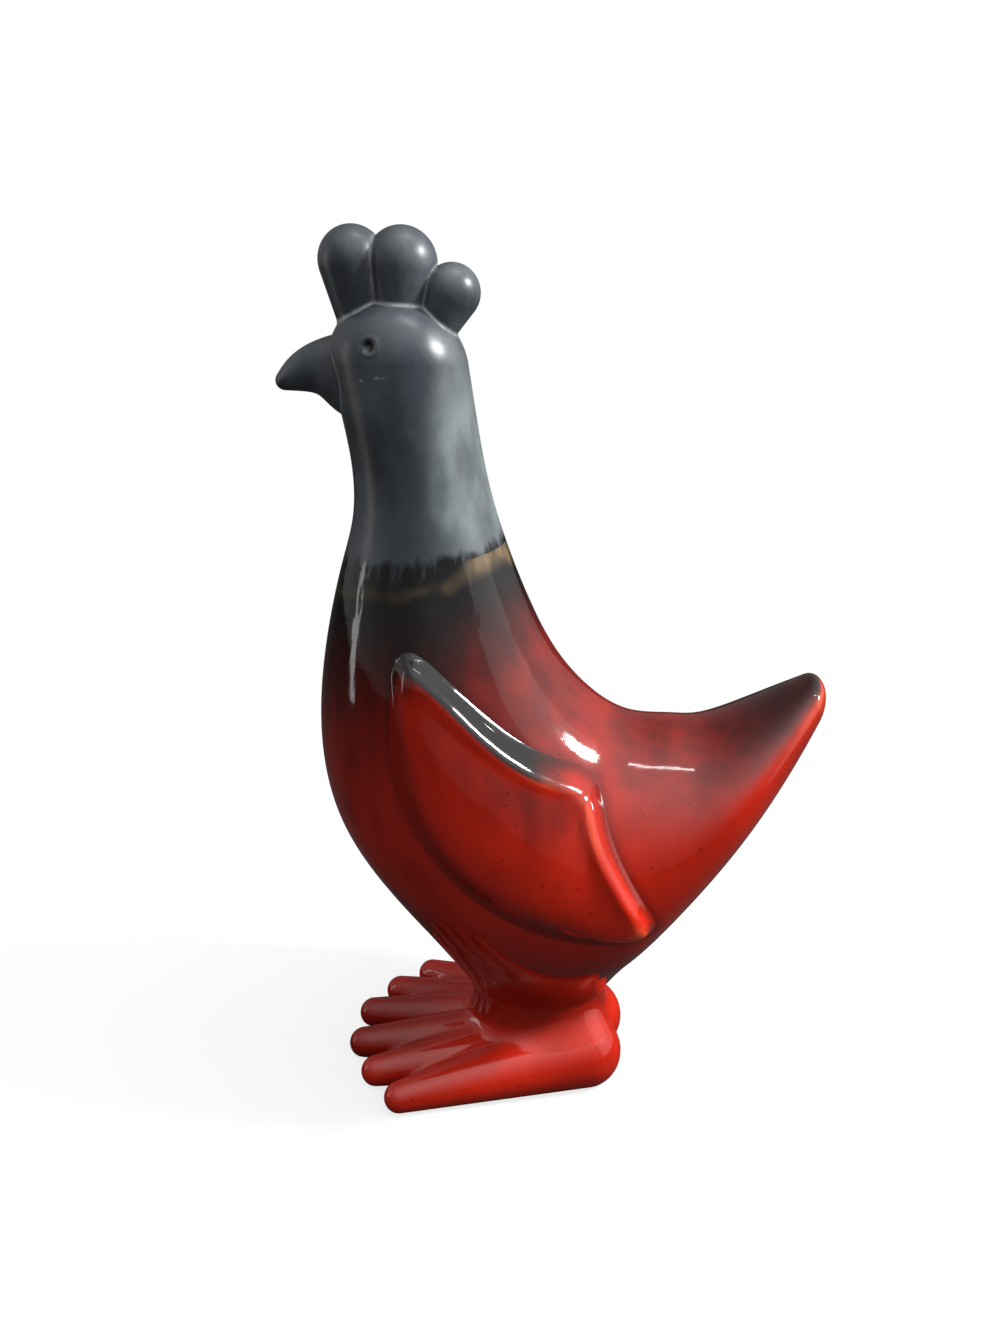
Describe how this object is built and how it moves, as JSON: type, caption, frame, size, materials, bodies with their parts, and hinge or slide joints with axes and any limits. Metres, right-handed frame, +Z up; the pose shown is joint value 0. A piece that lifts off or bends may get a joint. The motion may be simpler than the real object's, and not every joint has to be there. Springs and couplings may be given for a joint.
{
  "type": "ceramic rooster ornament",
  "caption": "Standing glazed ceramic rooster with a satin dark head and comb, a glossy red body, raised leaf-shaped wings and splayed toes that it stands on.",
  "frame": {"origin": "on the plane of the soles, under the middle of the bird's length and width", "axes": "+Z up, the beak points to -X, +Y is the bird's right side"},
  "size_m": [0.2119, 0.1274, 0.3512],
  "materials": {
    "red_glaze": "gloss",
    "dark_glaze": "satin"
  },
  "bodies": {
    "root": {"torso": "red_glaze", "left_wing": "red_glaze", "right_wing": "red_glaze", "leg_stem": "red_glaze", "left_foot": "red_glaze", "right_foot": "red_glaze", "head_and_neck": "dark_glaze", "beak": "dark_glaze", "comb_front_lobe": "dark_glaze", "comb_middle_lobe": "dark_glaze", "comb_rear_lobe": "dark_glaze"}
  },
  "joints": []
}
